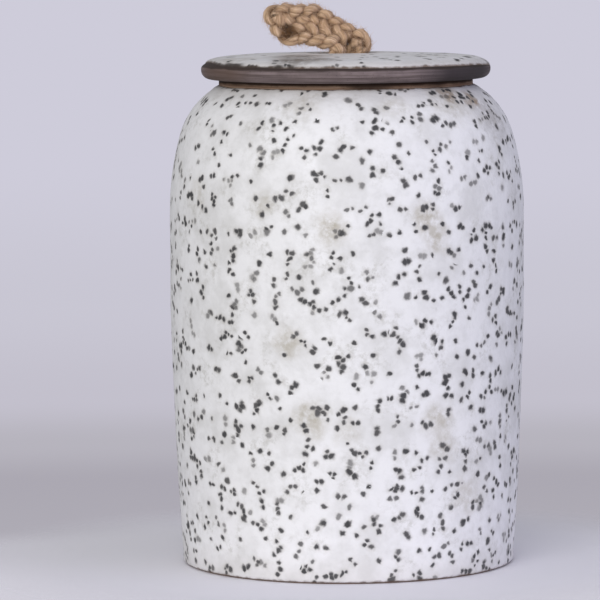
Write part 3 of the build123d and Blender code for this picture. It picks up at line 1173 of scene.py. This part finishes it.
jarGlaze = glazeSkin(
    "jarGlaze",
    outside,
    outerSkin,
    skinLook,
    jarGlazeFinish,
    wave(*outerSkin["startLine"]),
    wave(*outerSkin["endLine"]),
)
jarInnerGlaze = glazeSkin(
    "jarInnerGlaze",
    inside,
    innerSkin,
    skinLook,
    insideGlazeFinish,
    wave(*innerSkin["startLine"]),
    lambda a: 0.0,
)
closePole(jarInnerGlaze, skinLook)
lidGlaze = glazeSkin(
    "lidGlaze",
    top,
    lidSkin,
    skinLook,
    lidGlazeFinish,
    bitten(lidSkin, wave(*lidSkin["startLine"])),
    holeTrim(lidSkin),
)
for skinPiece, body, slot in (
    (jarGlaze, "jar", "jar_stoneware"),
    (jarInnerGlaze, "jar", "jar_stoneware"),
    (lidGlaze, "lid", "lid_stoneware"),
):
    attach(skinPiece, body)
print("glaze laid on jar and lid")

# stage: a pale table top that fades into the studio's backdrop
stageLook = {
    "radius": 0.6,
    "rings": 48,
    "sides": 96,
    "crowding": 1.6,  # rings lie closer towards the middle
    "finish": {"Base Color": (0.885, 0.868, 0.922, 1), "Roughness": 0.7},
    "fadeFrom": 0.085,
    "fadeTo": 0.150,
    "ambient": (0.86, 0.87, 0.92, 1),
    "ambientStrength": 0.46,
    "stops": [  # slope of the line of sight, and the backdrop's colour there, with painted shade in a dark band where the table top meets the backdrop
        (-0.1550, (0.635, 0.620, 0.690, 1)),
        (-0.1472, (0.525, 0.510, 0.570, 1)),
        (-0.1430, (0.420, 0.405, 0.455, 1)),
        (-0.1323, (0.410, 0.393, 0.445, 1)),
        (-0.1238, (0.470, 0.455, 0.510, 1)),
        (-0.1138, (0.545, 0.528, 0.605, 1)),
        (-0.0923, (0.580, 0.567, 0.650, 1)),
        (-0.0594, (0.617, 0.604, 0.701, 1)),
    ],
}


def addFloor(look):
    rings, sides = look["rings"], look["sides"]
    points = [(0, 0, 0)]
    for ring in range(1, rings + 1):
        radius = look["radius"] * (ring / rings) ** look["crowding"]
        points += [
            (radius * math.cos(2 * math.pi * k / sides), radius * math.sin(2 * math.pi * k / sides), 0)
            for k in range(sides)
        ]
    faces = [(0, 1 + k, 1 + (k + 1) % sides) for k in range(sides)]
    for ring in range(rings - 1):
        first = 1 + ring * sides
        for k in range(sides):
            a, b = first + k, first + (k + 1) % sides
            faces.append((a, a + sides, b + sides, b))
    material, tree, shader = startMaterial("tableTop", look["finish"])
    away = lengthOf(tree, addNode(tree, "TexCoord", {}).outputs["Object"])
    fade = remap(tree, away, look["fadeFrom"], look["fadeTo"])
    clear = addNode(tree, "BsdfTransparent", {})
    mixed = addNode(tree, "MixShader", {0: fade, 1: shader.outputs[0], 2: clear.outputs[0]})
    tree.links.new(mixed.outputs[0], tree.nodes["Material Output"].inputs["Surface"])
    addPiece("tableTop", points, faces, material)


def setWorld(look):
    world = bpy.data.worlds.new("studio")
    world.use_nodes = True
    tree = world.node_tree
    ambient = tree.nodes["Background"]
    ambient.inputs["Color"].default_value = look["ambient"]
    ambient.inputs["Strength"].default_value = look["ambientStrength"]
    heading = addNode(tree, "TexCoord", {}).outputs["Generated"]
    slope = splitAxes(tree, heading)[2]
    stops = look["stops"]
    place = remap(tree, slope, stops[0][0], stops[-1][0], shape="LINEAR")
    ramp = addNode(tree, "ValToRGB", {0: place})
    ramp.color_ramp.interpolation = "EASE"
    while len(ramp.color_ramp.elements) < len(stops):
        ramp.color_ramp.elements.new(0.5)
    for element, (level, color) in zip(ramp.color_ramp.elements, stops):
        element.position = (level - stops[0][0]) / (stops[-1][0] - stops[0][0])
        element.color = color
    backdrop = addNode(tree, "Background", {"Color": ramp.outputs[0]})
    rays = addNode(tree, "LightPath", {})
    seen = calc(tree, "MAXIMUM", rays.outputs["Is Camera Ray"], rays.outputs["Is Transmission Ray"])
    mixed = addNode(tree, "MixShader", {0: seen, 1: ambient.outputs[0], 2: backdrop.outputs[0]})
    tree.links.new(mixed.outputs[0], tree.nodes["World Output"].inputs["Surface"])
    scene.world = world


lampLook = {
    "key": {"place": (-0.65, -2.1, 0.72), "size": 2.0, "power": 35.5, "color": (1.0, 0.995, 0.985)},
    "fill": {"place": (1.8, -0.9, 0.6), "size": 2.0, "power": 13.5, "color": (0.68, 0.68, 1.0)},
}


def addLamp(name, lamp, aim):
    data = bpy.data.lights.new(name, "AREA")
    data.shape = "DISK"
    data.size = lamp["size"]
    data.energy = lamp["power"]
    data.color = lamp["color"]
    thing = bpy.data.objects.new(name, data)
    thing.location = lamp["place"]
    thing.rotation_euler = (aim - Vector(lamp["place"])).to_track_quat("-Z", "Y").to_euler()
    scene.collection.objects.link(thing)


addFloor(stageLook)
setWorld(stageLook)
for lampName, lamp in lampLook.items():
    addLamp(lampName, lamp, Vector((0, 0, rimHeight / 2)))
print("stage and lamps set")
